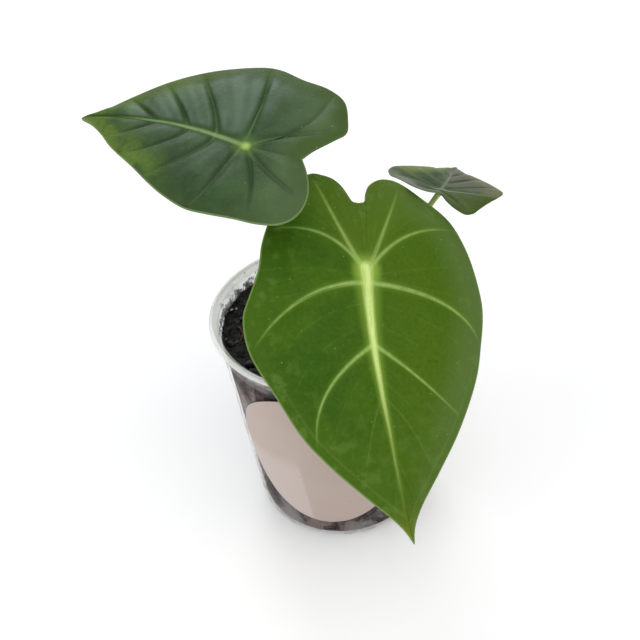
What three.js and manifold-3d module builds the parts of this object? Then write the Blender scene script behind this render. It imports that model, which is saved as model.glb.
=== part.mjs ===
// A young jewel alocasia in its clear nursery pot: three velvet leaves on their own stalks, the crown
// they rise from, the soil, the pot and a bare round sticker on its wall.
// Millimetres, +Z up. The origin is the centre of the pot's flat underside; the pot's front faces -Y.
import * as THREE from "three";
import Module from "manifold-3d";
import { mergeVertices } from "three/addons/utils/BufferGeometryUtils.js";

const TAU = 2 * Math.PI;
const GAP = 0.3; // clearance between pieces that rest on each other

// Pot: a 6 cm tapered cup with a rolled lip, a rounded foot and drain holes in its floor.
const POT = {
  height: 60,
  lipRadius: 30,
  lipHeight: 1.8,
  lipWidth: 1.15,
  topRadius: 28.4, // outside of the wall, just under the lip
  footRadius: 22.4, // outside of the wall, where the foot's rounding starts
  footRounding: 4,
  wall: 0.7,
  floor: 1,
  sides: 48,
};
const DRAIN = { radius: 1.9, count: 6, ring: 12.5, sides: 12 };

const SOIL = { level: 55.4, relief: 0.9, sides: 44, rings: 8, crownHole: 6 };
const CROWN = { radius: 5.4, root: 44, top: 56.8, sides: 18 };

// The sticker is a disc wrapped on the pot's cone; turn is its centre, from +X, seen from above.
const STICKER = { radius: 23, height: 31, turn: -102, thickness: 0.35, gap: 0.2, strips: 28 };

const BLADE = {
  thickness: 0.8,
  midribDepth: 0.8, // how far the midrib stands out under the blade
  veinDepth: 0.35, // the same for the other main veins
  midribCrest: 0.2, // and on the upper face
  quilt: 0.9, // rise of the blade between two main veins
  quiltSpan: 5, // vein spacing at which the rise reaches half of that
};

// Fractions from one main vein to the next at which the blade is sampled, close together at the veins.
const BETWEEN_VEINS = [0.12, 0.37, 0.63, 0.88];
const BETWEEN_WIDE_VEINS = [0.08, 0.22, 0.36, 0.5, 0.64, 0.78, 0.92];
const WIDE = 0.16; // share of the margin from which two veins count as wide apart
// Fractions from the midrib to the margin, with one close to the midrib so that its rib stays slim.
const TO_MARGIN = [0, 0.045, 0.16, 0.32, 0.48, 0.64, 0.8, 0.92, 1];

// Each blade is drawn flat, in millimetres from its hub, where the stalk meets it: [across, along].
// Its main veins leave the midrib at the stations, the last one at the tip. The midrib sweeps across
// towards the tip, and sways to its left by a width over a number of half waves.
// A side's margin runs from the notch between the lobes to the tip, with an optional third number, the
// height that it is curled up to there. The side's main veins are [end as a fraction of the margin,
// bow across, bow along].
// Heading, pitch and bank are degrees: the way the tip points seen from above, how far it points up,
// and how far the blade leans to its "right", the side of positive across.
const LEAVES = {
  large: {
    hub: [7.8, -18.1, 83.9],
    heading: -85,
    pitch: -34.5,
    bank: 15,
    arch: 26,
    fold: 0,
    cup: -0.005,
    marginRoll: 0.5,
    tipSweep: 5.8,
    sway: { width: 0.8, halfWaves: 2 },
    stations: [1.4, 1.4, 1.4, 3.4, 17, 28, 40, 60],
    right: {
      margin: [
        [1.5, -16], [2.9, -16.3], [3.5, -18.2], [4.8, -20.5], [7.1, -22.1], [9.3, -22.6], [12.3, -22],
        [18, -17.7], [23.7, -12.4], [26.7, -5], [28, 4], [28, 10], [26, 18.4], [23.8, 25.3], [18, 36.5],
        [12.4, 45], [7.8, 52], [6.2, 56], [5.8, 60],
      ],
      veins: [
        [0, 0.5, 0.5], [0.16, 0.5, 0.45], [0.3, 0.4, 1.1], [0.57, 0.92, 0.25],
        [0.73, 0.5, 0.42], [0.86, 0.55, 0.3], [0.94, 0.5, 0.35], [1, 0.5, 0.5],
      ],
    },
    left: {
      margin: [
        [1.5, -16], [0.2, -16.3], [-0.7, -18.4], [-1.7, -20.7], [-3.2, -22.5], [-5.3, -23.6],
        [-8, -24.2], [-13.4, -21], [-17.2, -16.3], [-21.2, -8], [-22.8, -1.8], [-25.4, 4.2], [-27, 8],
        [-27.3, 12.5], [-26.4, 17.5], [-22.4, 26], [-17.5, 35.3], [-12.2, 41.7], [-5, 48.6], [1.1, 54.1],
        [3.8, 57], [5.8, 60],
      ],
      veins: [
        [0, 0.5, 0.5], [0.12, 0.58, 0.4], [0.28, 0.3, 1.1], [0.55, 0.95, 0.3],
        [0.73, 0.9, 0.4], [0.86, 0.6, 0.3], [0.94, 0.5, 0.35], [1, 0.5, 0.5],
      ],
    },
  },
  left: {
    hub: [-15.7, -2.7, 106.9],
    heading: 152,
    pitch: 5,
    bank: 22,
    arch: 17,
    fold: 0.18,
    cup: -0.006,
    marginRoll: 0.3,
    tipSweep: -0.4,
    sway: { width: 1.6, halfWaves: 1 },
    stations: [0, 0, 0, 1, 8, 15.5, 24, 46],
    right: {
      margin: [
        [-1, -12.6], [1.2, -14.5], [5.9, -17.2], [10, -18.1], [13.8, -17.3], [16.2, -15], [17.5, -11],
        [18, -6], [18.7, 0], [18.9, 5], [17.2, 11.2], [15, 16.2], [11.9, 22.1], [7.3, 31.3],
        [3.7, 36.8], [1.2, 41.5], [-0.4, 46],
      ],
      veins: [
        [0, 0.5, 0.5], [0.14, 0.55, 0.3], [0.31, 0.45, 0.8], [0.47, 0.8, 0.1],
        [0.64, 0.25, -0.1], [0.75, 0.3, -0.1], [0.86, 0.5, 0.3], [1, 0.5, 0.5],
      ],
    },
    left: {
      margin: [
        [-1, -12.6], [-3.2, -13.8], [-7.6, -17.3], [-10, -18.9], [-13.2, -17.9], [-17.5, -15.3],
        [-19.5, -10.9], [-20.2, -4.4], [-21.4, 1.3], [-21.3, 4.8], [-19, 12.5], [-16.4, 18.9],
        [-12.5, 26.2], [-7.7, 33.4], [-3.4, 40], [-1.6, 43], [-0.4, 46],
      ],
      veins: [
        [0, 0.5, 0.5], [0.13, 0.35, 0.2], [0.26, 0.3, 1], [0.45, 0.4, -0.6],
        [0.64, 0.25, 0], [0.74, 0.3, 0.1], [0.85, 0.5, 0.3], [1, 0.5, 0.5],
      ],
    },
  },
  small: {
    hub: [28, 9.5, 85],
    heading: 76,
    pitch: -13,
    bank: -10,
    arch: 14,
    fold: 0.12,
    cup: 0,
    marginRoll: 0.3,
    tipSweep: -1.8,
    sway: { width: 1, halfWaves: 1 },
    stations: [0, 0, 0, 1, 6, 13, 29],
    right: {
      margin: [
        [-0.6, -5.5, 1.2], [0.9, -6.5, 2], [2.7, -9, 2.8], [4.5, -10.5, 3.4], [6.4, -10, 3.3],
        [8.6, -7, 2.4], [10.6, -3.5, 1.2], [12.4, 0, 0.1], [13.3, 3], [12.6, 7.5], [9.9, 12.5],
        [6.6, 18.3], [3.6, 23.3], [1.2, 26.5], [-1.8, 29],
      ],
      veins: [
        [0, 0.5, 0.5], [0.2, 0.45, 0.5], [0.43, 0.5, -0.6], [0.57, 0.55, 0.3],
        [0.72, 0.55, 0.3], [0.86, 0.5, 0.35], [1, 0.5, 0.5],
      ],
    },
    left: {
      margin: [
        [-0.6, -5.5, 1.2], [-1.7, -7.5, 1], [-3.3, -10, 0.9], [-4.9, -11.4, 0.6], [-6.9, -11.8],
        [-8.4, -10.8], [-9.5, -8.2], [-11.4, -3.6], [-13.3, 0.6], [-14.2, 4], [-12, 9], [-9.4, 14],
        [-6.8, 19], [-4.2, 24], [-1.8, 29],
      ],
      veins: [
        [0, 0.5, 0.5], [0.2, 0.45, 0.5], [0.42, 0.35, 1.4], [0.56, 0.55, 0.3],
        [0.72, 0.55, 0.3], [0.86, 0.5, 0.35], [1, 0.5, 0.5],
      ],
    },
  },
};

// Leaf stalks: the points that each one's middle passes, from the crown to just under its blade's hub,
// and its radius at both ends.
const STALKS = {
  large: { foot: 1.7, neck: 0.9, reach: 1.9, route: [[1.3, -2.6], [2.2, -6, 66], [4.4, -11.6, 76]] },
  left: { foot: 1.6, neck: 0.8, reach: 1.9, route: [[-2.8, -0.3], [-5.6, 0.3, 68], [-10.8, 1, 88]] },
  small: { foot: 1.3, neck: 0.65, reach: 1.9, route: [[2.3, 1.8], [8, 4.2, 65], [21.6, 7.6, 77.4]] },
};
const STALK_STEPS = 18;
const STALK_SIDES = 10;
const SHEATH_SHARE = 0.3; // the lower part of a stalk that widens towards its foot

const wasm = await Module();
wasm.setup();

function material(color, roughness, options = {}) {
  return new THREE.MeshStandardMaterial({ color, roughness, metalness: 0, ...options });
}

const MATERIALS = {
  bladeLarge: material(0x4c7a24, 0.5),
  bladeLeft: material(0x3f6236, 0.5),
  bladeSmall: material(0x5b6b40, 0.5),
  stalk: material(0x9db262, 0.5),
  crown: material(0x7d8f4c, 0.6),
  soil: material(0x241c17, 0.95),
  pot: material(0xd8dad6, 0.15, { transparent: true, opacity: 0.35 }),
  sticker: material(0xbfaca0, 0.6),
};

// A closed surface from a list of triangles, each three Vector3; ones with no area are left out.
function surfaceOf(triangles) {
  const numbers = [];
  const edge = new THREE.Vector3();
  const side = new THREE.Vector3();
  for (const [a, b, c] of triangles) {
    edge.subVectors(b, a);
    side.subVectors(c, a);
    if (edge.cross(side).length() > 1e-7) numbers.push(...a.toArray(), ...b.toArray(), ...c.toArray());
  }
  const geometry = new THREE.BufferGeometry();
  geometry.setAttribute("position", new THREE.Float32BufferAttribute(numbers, 3));
  geometry.computeVertexNormals();
  return geometry;
}

function solidOf(geometry) {
  const bare = geometry.clone();
  bare.deleteAttribute("normal");
  bare.deleteAttribute("uv");
  const merged = mergeVertices(bare, 1e-3);
  return new wasm.Manifold(
    new wasm.Mesh({
      numProp: 3,
      vertProperties: merged.attributes.position.array,
      triVerts: new Uint32Array(merged.index.array),
    }),
  );
}

function geometryOf(solid) {
  const mesh = solid.getMesh();
  const geometry = new THREE.BufferGeometry();
  geometry.setAttribute("position", new THREE.BufferAttribute(mesh.vertProperties, 3));
  geometry.setIndex(new THREE.BufferAttribute(mesh.triVerts, 1));
  return geometry;
}

// A body turned about Z from a profile of [radius, height] points, which runs up its outside.
function turned(profile, sides) {
  const geometry = new THREE.LatheGeometry(
    profile.map(([radius, height]) => new THREE.Vector2(radius, height)),
    sides,
  );
  return geometry.rotateX(Math.PI / 2);
}

// Points on a quarter round from straight down to straight out.
function footArc(centreRadius, centreHeight, radius, steps) {
  return Array.from({ length: steps + 1 }, (_, i) => {
    const angle = (i / steps) * (Math.PI / 2);
    return [centreRadius + radius * Math.sin(angle), centreHeight - radius * Math.cos(angle)];
  });
}

// Outer radius of the pot's wall at a height.
function wallRadius(height) {
  const share = (height - POT.footRounding) / (POT.height - POT.lipHeight - POT.footRounding);
  return THREE.MathUtils.lerp(POT.footRadius, POT.topRadius, share);
}

function potGeometry() {
  const { height, lipRadius, lipHeight, lipWidth, footRadius, footRounding, wall, floor } = POT;
  const footCentre = footRadius - footRounding;
  const under = height - lipHeight;
  const innerTop = wallRadius(under) - wall;
  const profile = [
    [0, 0],
    ...footArc(footCentre, footRounding, footRounding, 5),
    [wallRadius(height / 2), height / 2],
    [wallRadius(under), under],
    [lipRadius - 0.5, under + 0.2],
    [lipRadius, under + 0.7],
    [lipRadius, height - 0.5],
    [lipRadius - 0.35, height - 0.1],
    [lipRadius - 0.6 * lipWidth, height],
    [lipRadius - lipWidth, height - 0.35],
    [innerTop + 0.3, under + 0.7],
    [innerTop, under],
    [wallRadius(height / 2) - wall, height / 2],
    ...footArc(footCentre, footRounding, footRounding - wall, 4).reverse().slice(0, 4),
    [footCentre - 1, floor],
    [0, floor],
  ];
  let pot = solidOf(turned(profile, POT.sides));
  for (let i = 0; i < DRAIN.count; i++) {
    const angle = (i / DRAIN.count) * TAU;
    const hole = new THREE.CylinderGeometry(DRAIN.radius, DRAIN.radius, 4 * floor, DRAIN.sides);
    hole.rotateX(Math.PI / 2).translate(DRAIN.ring * Math.cos(angle), DRAIN.ring * Math.sin(angle), 0);
    pot = pot.subtract(solidOf(hole));
  }
  return geometryOf(pot);
}

// Loose, chunky soil: a few waves of different length laid over each other.
function soilRelief(x, y) {
  const waves =
    Math.sin(0.55 * x + 1.3) * Math.cos(0.48 * y) +
    0.7 * Math.sin(0.93 * x - 0.61 * y + 0.4) +
    0.5 * Math.cos(1.35 * y + 0.8 * x + 2.1);
  return (SOIL.relief * waves) / 2.2;
}

function soilGeometry() {
  const { level, crownHole, rings, sides } = SOIL;
  const clear = POT.wall + GAP;
  const footCentre = POT.footRadius - POT.footRounding;
  const under = POT.floor + GAP;
  const edge = wallRadius(level) - clear;
  const inward = (i) => THREE.MathUtils.lerp(edge, crownHole, i / rings);
  const profile = [
    [0, under],
    [footCentre - 1.2, under],
    ...footArc(footCentre, POT.footRounding, POT.footRounding - clear, 3).slice(1),
    [wallRadius(POT.height / 2) - clear, POT.height / 2],
    ...Array.from({ length: rings + 1 }, (_, i) => [inward(i), level]),
    [crownHole, CROWN.root - GAP],
    [0, CROWN.root - GAP],
  ];
  const geometry = turned(profile, sides);
  const position = geometry.attributes.position;
  const point = new THREE.Vector3();
  for (let i = 0; i < position.count; i++) {
    point.fromBufferAttribute(position, i);
    if (point.z > level - 1) position.setZ(i, level + soilRelief(point.x, point.y));
  }
  return geometry;
}

// The short swollen stem in the soil, which all the stalks grow from.
function crownGeometry() {
  const { radius, root, top } = CROWN;
  return turned(
    [
      [0, root],
      [0.5 * radius, root + 0.4],
      [0.85 * radius, root + 2.5],
      [radius, root + 5.5],
      [0.95 * radius, top - 2.4],
      [0.86 * radius, top - 0.6],
      [0.78 * radius, top],
      [0, top],
    ],
    CROWN.sides,
  );
}

// A disc bent round the pot's cone, in upright strips that lie flat along the cone.
function stickerGeometry() {
  const { radius, height, turn, thickness, gap, strips } = STICKER;
  const corner = (strip, end, off) => {
    const angle = (strip / strips) * Math.PI;
    const z = height + end * radius * Math.sin(angle);
    const around = THREE.MathUtils.degToRad(turn) - (radius * Math.cos(angle)) / wallRadius(height);
    const out = wallRadius(z) + off;
    return new THREE.Vector3(out * Math.cos(around), out * Math.sin(around), z);
  };
  const outside = gap + thickness;
  const triangles = [];
  for (let strip = 0; strip < strips; strip++) {
    const [lowA, lowB, highB, highA] = [[0, -1], [1, -1], [1, 1], [0, 1]].map(([step, end]) =>
      [outside, gap].map((off) => corner(strip + step, end, off)),
    );
    triangles.push([lowA[0], lowB[0], highB[0]], [lowA[0], highB[0], highA[0]]);
    triangles.push([lowA[1], highB[1], lowB[1]], [lowA[1], highA[1], highB[1]]);
    triangles.push([highA[0], highB[0], highB[1]], [highA[0], highB[1], highA[1]]);
    triangles.push([lowB[0], lowA[0], lowA[1]], [lowB[0], lowA[1], lowB[1]]);
  }
  return surfaceOf(triangles);
}

// The blade's own axes: along runs to the tip, up is square to the upper face, across is to its right.
function leafFrame({ hub, heading, pitch, bank }) {
  const [turn, rise, lean] = [heading, pitch, bank].map(THREE.MathUtils.degToRad);
  const along = new THREE.Vector3(
    Math.cos(rise) * Math.cos(turn),
    Math.cos(rise) * Math.sin(turn),
    Math.sin(rise),
  );
  const level = new THREE.Vector3(
    -Math.sin(rise) * Math.cos(turn),
    -Math.sin(rise) * Math.sin(turn),
    Math.cos(rise),
  );
  const side = new THREE.Vector3().crossVectors(level, along);
  const up = level.multiplyScalar(Math.cos(lean)).addScaledVector(side, Math.sin(lean));
  const across = new THREE.Vector3().crossVectors(up, along);
  return { hub: new THREE.Vector3(...hub), along, up, across };
}

// Bends the flat blade along its length and puts it in its place: w across, s along, z above.
function placeOnLeaf(leaf, frame, w, s, z) {
  const curve = THREE.MathUtils.degToRad(leaf.arch) / leaf.stations.at(-1);
  const reach = Math.sin(curve * s) * (1 / curve + z);
  const rise = Math.cos(curve * s) * (1 / curve + z) - 1 / curve;
  return frame.hub
    .clone()
    .addScaledVector(frame.along, reach)
    .addScaledVector(frame.across, w)
    .addScaledVector(frame.up, rise);
}

// The place on the midrib, in the flat drawing, at a distance along it from the hub.
function midribPoint(leaf, s) {
  const share = s / leaf.stations.at(-1);
  const { width, halfWaves } = leaf.sway;
  return new THREE.Vector2(leaf.tipSweep * share ** 5 - width * Math.sin(Math.PI * halfWaves * share), s);
}

// The rows of a half blade: one for each main vein and a few between them, from the notch to the tip.
// Each row is a curve from the midrib to the margin.
function bladeRows(leaf, side) {
  const margin = new THREE.CatmullRomCurve3(
    side.margin.map(([w, s, lift = 0]) => new THREE.Vector3(w, s, lift)),
    false,
    "centripetal",
  );
  margin.arcLengthDivisions = 400;
  const row = ([start, end, bowAcross, bowAlong]) => {
    const edge = margin.getPointAt(end);
    const from = midribPoint(leaf, start);
    const to = new THREE.Vector2(edge.x, edge.y);
    const bow = new THREE.Vector2(
      THREE.MathUtils.lerp(from.x, to.x, bowAcross),
      THREE.MathUtils.lerp(from.y, to.y, bowAlong),
    );
    return { curve: new THREE.QuadraticBezierCurve(from, bow, to), lift: edge.z };
  };
  const veins = leaf.stations.map((start, i) => [start, ...side.veins[i]]);
  const rows = [];
  veins.forEach((vein, i) => {
    rows.push({ ...row(vein), between: 0, spread: () => 0 });
    const next = veins[i + 1];
    if (!next) return;
    const pair = [row(vein).curve, row(next).curve];
    const spread = (v) => pair[0].getPoint(v).distanceTo(pair[1].getPoint(v));
    for (const share of rowsBetween(leaf, i)) {
      const mixed = vein.map((value, k) => THREE.MathUtils.lerp(value, next[k], share));
      rows.push({ ...row(mixed), between: share, spread });
    }
  });
  return rows;
}

// Both halves have the same rows between two veins, so that they meet along the midrib.
function rowsBetween(leaf, i) {
  const shares = [leaf.right, leaf.left].map(({ veins }) => veins[i + 1][0] - veins[i][0]);
  return Math.max(...shares) < WIDE ? BETWEEN_VEINS : BETWEEN_WIDE_VEINS;
}

// Height of the blade's middle above its flat drawing, at fraction v from the midrib to the margin.
function bladeHeight(leaf, row, w, v) {
  const folded = leaf.fold * (Math.hypot(w, 2) - 2) + leaf.cup * w * w;
  const room = row.spread(v);
  const quilt = BLADE.quilt * Math.sin(Math.PI * row.between) * Math.sin(Math.PI * v) ** 0.7;
  const roll = leaf.marginRoll * Math.max(0, (v - 0.75) / 0.25) ** 2;
  return folded + row.lift * v * v + (quilt * room) / (room + BLADE.quiltSpan) - roll;
}

function bladeGeometry(leaf) {
  const frame = leafFrame(leaf);
  const halves = [bladeRows(leaf, leaf.right), bladeRows(leaf, leaf.left)];
  const at = (half, i, j, face) => {
    const row = halves[half][i];
    const v = TO_MARGIN[j];
    const flat = row.curve.getPoint(v);
    const onMidrib = j === 0 ? 1 : 0;
    const onVein = !onMidrib && row.between === 0 ? Math.sqrt(1 - v) : 0;
    const proud =
      face > 0
        ? BLADE.midribCrest * onMidrib
        : Math.max(BLADE.midribDepth * onMidrib, BLADE.veinDepth * onVein);
    const taper = 1 - row.curve.v0.y / leaf.stations.at(-1);
    const depth = BLADE.thickness / 2 + proud * Math.max(0, taper);
    return placeOnLeaf(leaf, frame, flat.x, flat.y, bladeHeight(leaf, row, flat.x, v) + face * depth);
  };
  const triangles = [];
  const quad = (a, b, c, d, flip) =>
    triangles.push(flip ? [a, c, b] : [a, b, c], flip ? [a, d, c] : [a, c, d]);
  const last = TO_MARGIN.length - 1;
  for (const half of [0, 1]) {
    for (let i = 0; i + 1 < halves[half].length; i++) {
      const next = i + 1;
      for (const face of [1, -1]) {
        const flip = (half === 1) !== (face === -1);
        for (let j = 0; j < last; j++) {
          const near = [at(half, i, j, face), at(half, next, j, face)];
          const far = [at(half, next, j + 1, face), at(half, i, j + 1, face)];
          quad(...near, ...far, flip);
        }
      }
      const above = [at(half, i, last, 1), at(half, next, last, 1)];
      const below = [at(half, next, last, -1), at(half, i, last, -1)];
      quad(...above, ...below, half === 1);
    }
  }
  return surfaceOf(triangles);
}

// A round stalk: a turned rod, whose rings are then carried to their places along the route.
function stalkGeometry(stalk, leaf) {
  const frame = leafFrame(leaf);
  const [base, ...middle] = stalk.route;
  const foot = new THREE.Vector3(base[0], base[1], CROWN.top + GAP);
  const bends = middle.map((point) => new THREE.Vector3(...point));
  const approach = new THREE.Vector3().subVectors(frame.hub, bends.at(-1)).normalize();
  const neck = frame.hub.clone().addScaledVector(approach, -stalk.reach);
  const curve = new THREE.CatmullRomCurve3([foot, ...bends, neck], false, "centripetal");
  const { normals, binormals } = curve.computeFrenetFrames(STALK_STEPS);
  const centres = curve.getSpacedPoints(STALK_STEPS);
  const profile = [[0, 0]];
  for (let i = 0; i <= STALK_STEPS; i++) {
    const share = i / STALK_STEPS;
    const sheath = Math.max(0, 1 - share / SHEATH_SHARE) ** 2;
    const slim = THREE.MathUtils.lerp(0.8 * stalk.foot, stalk.neck, Math.sqrt(share));
    profile.push([THREE.MathUtils.lerp(slim, stalk.foot, sheath), i]);
  }
  profile.push([0, STALK_STEPS]);
  const geometry = turned(profile, STALK_SIDES);
  const position = geometry.attributes.position;
  for (let k = 0; k < position.count; k++) {
    const ring = Math.round(position.getZ(k));
    const place = centres[ring]
      .clone()
      .addScaledVector(normals[ring], position.getX(k))
      .addScaledVector(binormals[ring], position.getY(k));
    position.setXYZ(k, place.x, place.y, place.z);
  }
  // The foot stands flat on the crown.
  for (let k = 0; k < position.count; k++) position.setZ(k, Math.max(position.getZ(k), foot.z));
  return geometry;
}

const plant = new THREE.Group();

function add(name, geometry, finish) {
  const mesh = new THREE.Mesh(geometry, finish);
  mesh.name = name;
  plant.add(mesh);
}

add("pot", potGeometry(), MATERIALS.pot);
add("sticker", stickerGeometry(), MATERIALS.sticker);
add("soil", soilGeometry(), MATERIALS.soil);
add("crown", crownGeometry(), MATERIALS.crown);
for (const [name, stalk] of Object.entries(STALKS)) {
  add(`stalk_${name}`, stalkGeometry(stalk, LEAVES[name]), MATERIALS.stalk);
}
add("blade_large", bladeGeometry(LEAVES.large), MATERIALS.bladeLarge);
add("blade_left", bladeGeometry(LEAVES.left), MATERIALS.bladeLeft);
add("blade_small", bladeGeometry(LEAVES.small), MATERIALS.bladeSmall);

export default plant;
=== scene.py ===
import math
import random
from contextlib import contextmanager

import bpy
import numpy as np
from mathutils import Matrix, Vector, noise


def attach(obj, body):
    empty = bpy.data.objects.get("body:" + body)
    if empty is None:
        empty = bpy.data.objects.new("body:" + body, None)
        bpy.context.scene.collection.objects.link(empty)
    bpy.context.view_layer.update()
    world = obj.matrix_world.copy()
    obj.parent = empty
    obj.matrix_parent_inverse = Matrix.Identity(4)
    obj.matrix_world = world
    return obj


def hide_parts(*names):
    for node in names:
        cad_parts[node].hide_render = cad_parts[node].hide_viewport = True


# A young alocasia frydek in its clear nursery pot. Sizes below are millimetres unless they say
# otherwise; MM turns them into Blender's metres.
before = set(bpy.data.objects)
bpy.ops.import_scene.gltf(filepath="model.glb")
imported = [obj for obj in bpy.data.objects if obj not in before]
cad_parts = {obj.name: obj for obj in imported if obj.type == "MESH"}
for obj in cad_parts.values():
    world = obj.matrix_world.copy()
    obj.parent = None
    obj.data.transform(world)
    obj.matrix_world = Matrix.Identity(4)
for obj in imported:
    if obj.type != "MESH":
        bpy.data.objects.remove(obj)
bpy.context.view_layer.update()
scene = bpy.context.scene
MM = 0.001
TAU = 2 * math.pi

# ---------------------------------------------------------------- sizes

POT_HEIGHT = 60
LIP_RADIUS = 30
LIP_HEIGHT = 1.8
LIP_WIDTH = 1.15
WALL_TOP_RADIUS = 28.4
FOOT_RADIUS = 22.4
FOOT_ROUNDING = 4
WALL = 0.7
STEP_HEIGHT = 54       # of the stacking step inside the wall
STEP_DEPTH = 0.12
POT_FLOOR = 1
DRAIN = {"radius": 1.9, "count": 6, "ring": 12.5}

SOIL_LEVEL = 55.4
SOIL_RELIEF = 0.9
SOIL_GAP = 0.12        # between the soil and the pot's wall
FIBRE_STEP = 0.55      # from one point of a fibre on the soil to the next
CROWN_RADIUS = 5.4
CROWN_ROOT = 44
CROWN_TOP = 56.8

STICKER = {"radius": 23, "height": 31, "turn": -102, "thick": 0.16, "gap": 0.06, "blister": 0.05}

# Each blade is drawn flat, from its hub: (across, along) and, where it stands up, the height there.
# A side's margin runs from the notch between the lobes to the tip, which lies at the sweep and the last
# station. Stations are where the main veins leave the midrib, which sways to its left by a width over a
# number of half waves. The first and the last of them are the notch's and the tip's; for the others
# each side gives the vein's end, as a fraction of its margin, and how it bows across and along, and
# lines give its half width and how pale it is. Heading, pitch and bank turn the blade and arch bends it
# along its length, all in degrees. Fold and cup raise its sides, roll turns its rim down and curl its
# tip up. Quilt is how high it swells between veins, groove how deep they lie, and midrib how wide the
# midrib is at the hub and at the tip.
LEAVES = {
    "large": {
        "hub": (7.8, -18.1, 83.9), "heading": -85, "pitch": -34.5, "bank": 15, "arch": 26,
        "fold": 0, "cup": -0.005, "roll": 0.5, "curl": 0, "sweep": 5.8, "sway": (0.8, 2),
        "notch": (1.5, -16), "stations": [1.4, 1.4, 1.4, 3.4, 17, 28, 40, 60],
        "right": {
            "margin": [
                (2.9, -16.3), (3.5, -18.2), (4.8, -20.5), (7.1, -22.1), (9.3, -22.6), (12.3, -22),
                (18, -17.7), (23.7, -12.4), (26.7, -5), (28, 4), (28, 10), (26, 18.4), (23.8, 25.3),
                (18, 36.5), (12.4, 45), (7.8, 52), (6.2, 56),
            ],
            "veins": [
                (0.14, 0.22, 0.2), (0.3, 0.4, 1.1), (0.57, 0.92, 0.25), (0.73, 0.5, 0.42),
                (0.86, 0.55, 0.3), (0.94, 0.5, 0.35),
            ],
        },
        "left": {
            "margin": [
                (0.2, -16.3), (-0.7, -18.4), (-1.7, -20.7), (-3.2, -22.5), (-5.3, -23.6), (-8, -24.2),
                (-13.4, -21), (-17.2, -16.3), (-21.2, -8), (-22.8, -1.8), (-25.4, 4.2), (-27, 8),
                (-27.3, 12.5), (-26.4, 17.5), (-22.4, 26), (-17.5, 35.3), (-12.2, 41.7), (-5, 48.6),
                (1.1, 54.1), (3.8, 57),
            ],
            "veins": [
                (0.12, 0.58, 0.4), (0.28, 0.3, 1.1), (0.53, 0.65, -0.05), (0.75, 1.2, 0.4),
                (0.86, 0.7, 0.3), (0.94, 0.5, 0.35),
            ],
        },
        "lines": [(0.66, 0.85), (0.56, 0.8), (0.56, 0.9), (0.48, 0.85), (0.3, 0.1), (0.3, 0.06)],
        "quilt": 0.8, "groove": 0.05, "midrib": (1.5, 0.14),
    },
    "left": {
        "hub": (-15.7, -2.7, 106.9), "heading": 152, "pitch": 5, "bank": 22, "arch": 17,
        "fold": 0.18, "cup": -0.006, "roll": 0.3, "curl": 0, "sweep": -0.4, "sway": (1.6, 1),
        "notch": (-1, -12.6), "stations": [0, 0, 0, 1, 8, 15.5, 24, 46],
        "right": {
            "margin": [
                (1.2, -14.5), (5.9, -17.2), (10, -18.1), (13.8, -17.3), (16.2, -15), (17.5, -11),
                (18, -6), (18.7, 0), (18.9, 5), (17.2, 11.2), (15, 16.2), (11.9, 22.1), (7.3, 31.3),
                (3.7, 36.8), (1.2, 41.5),
            ],
            "veins": [
                (0.14, 0.55, 0.3), (0.31, 0.45, 0.8), (0.47, 0.8, 0.1), (0.64, 0.25, -0.1),
                (0.75, 0.3, -0.1), (0.86, 0.5, 0.3),
            ],
        },
        "left": {
            "margin": [
                (-3.2, -13.8), (-7.6, -17.3), (-10, -18.9), (-13.2, -17.9), (-17.5, -15.3),
                (-19.5, -10.9), (-20.2, -4.4), (-21.4, 1.3), (-21.3, 4.8), (-19, 12.5), (-16.4, 18.9),
                (-12.5, 26.2), (-7.7, 33.4), (-3.4, 40), (-1.6, 43),
            ],
            "veins": [
                (0.13, 0.35, 0.2), (0.26, 0.3, 1), (0.45, 0.4, -0.6), (0.64, 0.25, 0), (0.74, 0.3, 0.1),
                (0.85, 0.5, 0.3),
            ],
        },
        "lines": [(0.5, 0.5), (0.35, 0.1), (0.5, 0.6), (0.4, 0.45), (0.3, 0.2), (0.28, 0.1)],
        "quilt": 1.5, "groove": 0.2, "midrib": (0.7, 0.15),
    },
    "small": {
        "hub": (28, 9.5, 85), "heading": 76, "pitch": -13, "bank": -10, "arch": 14,
        "fold": 0.12, "cup": 0, "roll": 0.3, "curl": 0.75, "sweep": -1.8, "sway": (1, 1),
        "notch": (-0.6, -5.5, 1.2), "stations": [0, 0, 0, 1, 6, 13, 29],
        "right": {
            "margin": [
                (0.9, -6.5, 2), (2.7, -9, 2.8), (4.5, -10.5, 3.4), (6.4, -10, 3.3), (8.6, -7, 2.4),
                (10.6, -3.5, 1.2), (12.4, 0, 0.1), (13.3, 3), (12.6, 7.5), (9.9, 12.5), (6.6, 18.3),
                (3.6, 23.3), (1.2, 26.5),
            ],
            "veins": [
                (0.2, 0.45, 0.5), (0.43, 0.5, -0.6), (0.57, 0.55, 0.3), (0.72, 0.55, 0.3),
                (0.86, 0.5, 0.35),
            ],
        },
        "left": {
            "margin": [
                (-1.7, -7.5, 1), (-3.3, -10, 0.9), (-4.9, -11.4, 0.6), (-6.9, -11.8), (-8.4, -10.8),
                (-9.5, -8.2), (-11.4, -3.6), (-13.3, 0.6), (-14.2, 4), (-12, 9), (-9.4, 14), (-6.8, 19),
                (-4.2, 24),
            ],
            "veins": [
                (0.2, 0.45, 0.5), (0.42, 0.35, 1.4), (0.56, 0.55, 0.3), (0.72, 0.55, 0.3),
                (0.86, 0.5, 0.35),
            ],
        },
        "lines": [(0.3, 0), (0.4, 0.85), (0.3, 0.15), (0.28, 0.2), (0.22, 0.1)],
        "quilt": 0.9, "groove": 0.15, "midrib": (0.5, 0.2),
    },
}

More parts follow.
